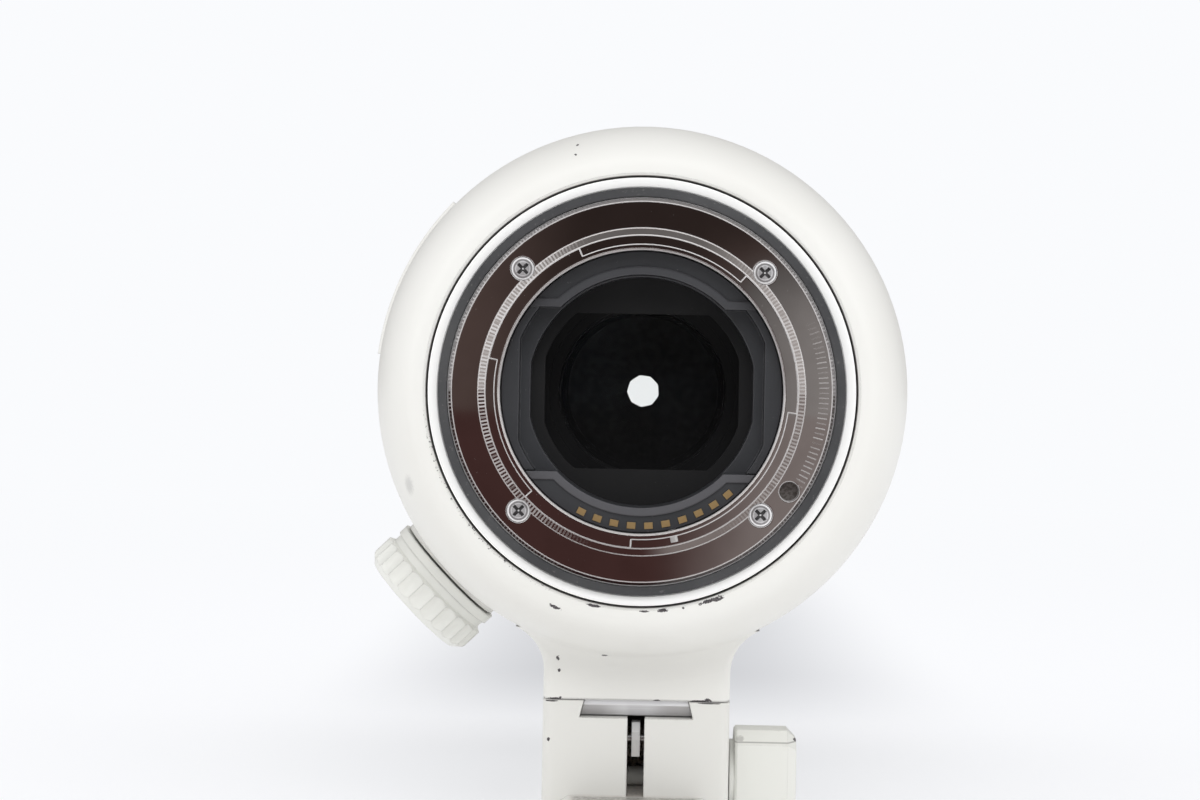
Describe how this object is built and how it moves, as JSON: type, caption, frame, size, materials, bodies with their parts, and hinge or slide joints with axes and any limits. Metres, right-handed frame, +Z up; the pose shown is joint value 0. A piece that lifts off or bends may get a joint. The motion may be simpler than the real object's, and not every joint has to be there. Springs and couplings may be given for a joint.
{
  "type": "camera zoom lens",
  "caption": "White telephoto zoom lens with bayonet mount, rotating tripod collar, quick-release foot, zoom and focus rings and a working iris.",
  "frame": {"origin": "centre of the bayonet flange face, on the optical axis", "axes": "+Y along the optical axis towards the front of the lens, +Z up, +X to the right as seen from the camera side"},
  "size_m": [0.094, 0.2102, 0.12],
  "materials": {
    "cream_paint": "satin cream paint on a metal casting",
    "knob_paint": "moulded cream plastic",
    "polished_mount": "turned and polished steel",
    "bright_steel": "bright steel",
    "brushed_plate": "brushed",
    "black_plastic": "matte",
    "switch_plastic": "satin",
    "gold_contact": "gold plate",
    "seal_rubber": "matte",
    "grip_rubber": "matte ribbed rubber",
    "black_metal": "black anodised",
    "blade_metal": "matte black coated",
    "lens_glass": "coated optical glass",
    "circuit_board": "solder mask"
  },
  "bodies": {
    "barrel": {"mount_ring": "polished_mount", "mount_screws": "bright_steel", "bayonet_stop_pin": "bright_steel", "contact_block": "black_plastic", "contact_pads": "gold_contact", "inner_liner": "black_plastic", "rear_baffle": "black_plastic", "mount_seal": "seal_rubber", "rear_cover_ring": "cream_paint", "rear_barrel": "black_metal", "rear_lens_cell": "black_plastic", "rear_lenses": "lens_glass", "main_board": "circuit_board", "main_barrel": "cream_paint", "switch_panel": "black_plastic", "guide_barrel": "black_metal", "button_barrel": "cream_paint", "iris_housing": "black_plastic"},
    "collar": {"tripod_collar": "cream_paint", "dovetail_plate": "brushed_plate", "dovetail_screws": "bright_steel"},
    "collar_knob": {"collar_knob": "knob_paint"},
    "clamp_shoe": {"collar_clamp_shoe": "bright_steel"},
    "foot": {"foot": "cream_paint", "catch_pin": "bright_steel"},
    "foot_knob": {"foot_knob": "knob_paint"},
    "foot_catch": {"foot_catch": "bright_steel"},
    "focus_ring": {"focus_ring": "black_metal", "focus_grip": "grip_rubber"},
    "tension_ring": {"tension_ring": "black_metal"},
    "zoom_ring": {"zoom_ring": "cream_paint", "zoom_grip": "grip_rubber", "cam_barrel": "black_metal"},
    "front_tube": {"front_tube": "black_plastic", "filter_ring": "cream_paint", "front_lenses": "lens_glass"},
    "variator": {"variator_cell": "black_plastic", "variator_lenses": "lens_glass"},
    "focus_group": {"focus_cell": "black_plastic", "focus_lens": "lens_glass"},
    "stabiliser_yoke": {"stabiliser_yoke": "black_plastic"},
    "stabiliser_cell": {"stabiliser_cell": "black_plastic", "stabiliser_lens": "lens_glass"},
    "iris_ring": {"iris_ring": "black_plastic"},
    "iris_blade_1": {"iris_blade_1": "blade_metal"},
    "iris_blade_2": {"iris_blade_2": "blade_metal"},
    "iris_blade_3": {"iris_blade_3": "blade_metal"},
    "iris_blade_4": {"iris_blade_4": "blade_metal"},
    "iris_blade_5": {"iris_blade_5": "blade_metal"},
    "iris_blade_6": {"iris_blade_6": "blade_metal"},
    "iris_blade_7": {"iris_blade_7": "blade_metal"},
    "iris_blade_8": {"iris_blade_8": "blade_metal"},
    "iris_blade_9": {"iris_blade_9": "blade_metal"},
    "hold_button_1": {"hold_button_1": "switch_plastic"},
    "hold_button_2": {"hold_button_2": "switch_plastic"},
    "hold_button_3": {"hold_button_3": "switch_plastic"},
    "slide_switch_1": {"slide_switch_1": "switch_plastic"},
    "slide_switch_2": {"slide_switch_2": "switch_plastic"},
    "slide_switch_3": {"slide_switch_3": "switch_plastic"},
    "slide_switch_4": {"slide_switch_4": "switch_plastic"}
  },
  "joints": [
    {"name": "collar_turn", "type": "hinge", "parent": "barrel", "child": "collar", "pos_m": [0, 0.034, 0], "axis": [0, 1, 0], "continuous": true},
    {"name": "collar_knob_turn", "type": "hinge", "parent": "collar", "child": "collar_knob", "pos_m": [-0.03237, 0.033, -0.03126], "axis": [-0.7193, 0, -0.6947], "range_deg": [0, 360]},
    {"name": "clamp_shoe_lift", "type": "slide", "parent": "collar", "child": "clamp_shoe", "axis": [-0.7193, 0, -0.6947], "range_m": [0, 0.00025]},
    {"name": "foot_slide", "type": "slide", "parent": "collar", "child": "foot", "axis": [0, 1, 0], "range_m": [0, 0.028]},
    {"name": "foot_knob_turn", "type": "hinge", "parent": "foot", "child": "foot_knob", "pos_m": [0.0205, 0.033, -0.0617], "axis": [1, 0, 0], "range_deg": [0, 360]},
    {"name": "foot_catch_press", "type": "hinge", "parent": "foot", "child": "foot_catch", "pos_m": [0, 0.0238, -0.0545], "axis": [-1, 0, 0], "range_deg": [0, 8], "stiffness_Nm_per_rad": 0.02},
    {"name": "focus_turn", "type": "hinge", "parent": "barrel", "child": "focus_ring", "pos_m": [0, 0.096, 0], "axis": [0, 1, 0], "continuous": true},
    {"name": "tension_turn", "type": "hinge", "parent": "barrel", "child": "tension_ring", "pos_m": [0, 0.126, 0], "axis": [0, 1, 0], "range_deg": [0, 40]},
    {"name": "zoom_turn", "type": "hinge", "parent": "barrel", "child": "zoom_ring", "pos_m": [0, 0.158, 0], "axis": [0, 1, 0], "range_deg": [0, 75]},
    {"name": "front_slide", "type": "slide", "parent": "barrel", "child": "front_tube", "axis": [0, 1, 0], "range_m": [0, 0.058]},
    {"name": "variator_slide", "type": "slide", "parent": "barrel", "child": "variator", "axis": [0, 1, 0], "range_m": [0, 0.014]},
    {"name": "focus_group_slide", "type": "slide", "parent": "barrel", "child": "focus_group", "axis": [0, 1, 0], "range_m": [0, 0.01]},
    {"name": "stabiliser_shift_x", "type": "slide", "parent": "barrel", "child": "stabiliser_yoke", "axis": [1, 0, 0], "range_m": [-0.0008, 0.0008]},
    {"name": "stabiliser_shift_z", "type": "slide", "parent": "stabiliser_yoke", "child": "stabiliser_cell", "axis": [0, 0, 1], "range_m": [-0.0008, 0.0008]},
    {"name": "iris_turn", "type": "hinge", "parent": "barrel", "child": "iris_ring", "pos_m": [0, 0.0754, 0], "axis": [0, 1, 0], "range_deg": [0, 5.42]},
    {"name": "iris_blade_1_swing", "type": "hinge", "parent": "barrel", "child": "iris_blade_1", "pos_m": [0.01978, 0.074, 0.00704], "axis": [0, 1, 0], "range_deg": [0, 28.77]},
    {"name": "iris_blade_2_swing", "type": "hinge", "parent": "barrel", "child": "iris_blade_2", "pos_m": [0.01063, 0.074, 0.01811], "axis": [0, 1, 0], "range_deg": [0, 28.77]},
    {"name": "iris_blade_3_swing", "type": "hinge", "parent": "barrel", "child": "iris_blade_3", "pos_m": [-0.0035, 0.074, 0.02071], "axis": [0, 1, 0], "range_deg": [0, 28.77]},
    {"name": "iris_blade_4_swing", "type": "hinge", "parent": "barrel", "child": "iris_blade_4", "pos_m": [-0.01599, 0.074, 0.01361], "axis": [0, 1, 0], "range_deg": [0, 28.77]},
    {"name": "iris_blade_5_swing", "type": "hinge", "parent": "barrel", "child": "iris_blade_5", "pos_m": [-0.021, 0.074, 0.00015], "axis": [0, 1, 0], "range_deg": [0, 28.77]},
    {"name": "iris_blade_6_swing", "type": "hinge", "parent": "barrel", "child": "iris_blade_6", "pos_m": [-0.01618, 0.074, -0.01339], "axis": [0, 1, 0], "range_deg": [0, 28.77]},
    {"name": "iris_blade_7_swing", "type": "hinge", "parent": "barrel", "child": "iris_blade_7", "pos_m": [-0.00379, 0.074, -0.02066], "axis": [0, 1, 0], "range_deg": [0, 28.77]},
    {"name": "iris_blade_8_swing", "type": "hinge", "parent": "barrel", "child": "iris_blade_8", "pos_m": [0.01037, 0.074, -0.01826], "axis": [0, 1, 0], "range_deg": [0, 28.77]},
    {"name": "iris_blade_9_swing", "type": "hinge", "parent": "barrel", "child": "iris_blade_9", "pos_m": [0.01968, 0.074, -0.00732], "axis": [0, 1, 0], "range_deg": [0, 28.77]},
    {"name": "hold_button_1_press", "type": "slide", "parent": "barrel", "child": "hold_button_1", "axis": [0, 0, -1], "range_m": [0, 0.0005], "stiffness_N_per_m": 600, "springref_m": -0.0005},
    {"name": "hold_button_2_press", "type": "slide", "parent": "barrel", "child": "hold_button_2", "axis": [-1, 0, 0], "range_m": [0, 0.0005], "stiffness_N_per_m": 600, "springref_m": -0.0005},
    {"name": "hold_button_3_press", "type": "slide", "parent": "barrel", "child": "hold_button_3", "axis": [1, 0, 0], "range_m": [0, 0.0005], "stiffness_N_per_m": 600, "springref_m": -0.0005},
    {"name": "slide_switch_1_move", "type": "slide", "parent": "barrel", "child": "slide_switch_1", "axis": [0, 1, 0], "range_m": [0, 0.0036]},
    {"name": "slide_switch_2_move", "type": "slide", "parent": "barrel", "child": "slide_switch_2", "axis": [0, 1, 0], "range_m": [0, 0.0036]},
    {"name": "slide_switch_3_move", "type": "slide", "parent": "barrel", "child": "slide_switch_3", "axis": [0, 1, 0], "range_m": [0, 0.0036]},
    {"name": "slide_switch_4_move", "type": "slide", "parent": "barrel", "child": "slide_switch_4", "axis": [0, 1, 0], "range_m": [0, 0.0036]}
  ],
  "couplings": [
    {"joint": "clamp_shoe_lift", "follows": "collar_knob_turn", "m_per_rad": 0.000039769},
    {"joint": "front_slide", "follows": "zoom_turn", "m_per_rad": 0.0443},
    {"joint": "variator_slide", "follows": "zoom_turn", "m_per_rad": 0.010694},
    {"joint": "iris_blade_1_swing", "follows": "iris_turn", "ratio": 5.3115},
    {"joint": "iris_blade_2_swing", "follows": "iris_turn", "ratio": 5.3115},
    {"joint": "iris_blade_3_swing", "follows": "iris_turn", "ratio": 5.3115},
    {"joint": "iris_blade_4_swing", "follows": "iris_turn", "ratio": 5.3115},
    {"joint": "iris_blade_5_swing", "follows": "iris_turn", "ratio": 5.3115},
    {"joint": "iris_blade_6_swing", "follows": "iris_turn", "ratio": 5.3115},
    {"joint": "iris_blade_7_swing", "follows": "iris_turn", "ratio": 5.3115},
    {"joint": "iris_blade_8_swing", "follows": "iris_turn", "ratio": 5.3115},
    {"joint": "iris_blade_9_swing", "follows": "iris_turn", "ratio": 5.3115}
  ]
}
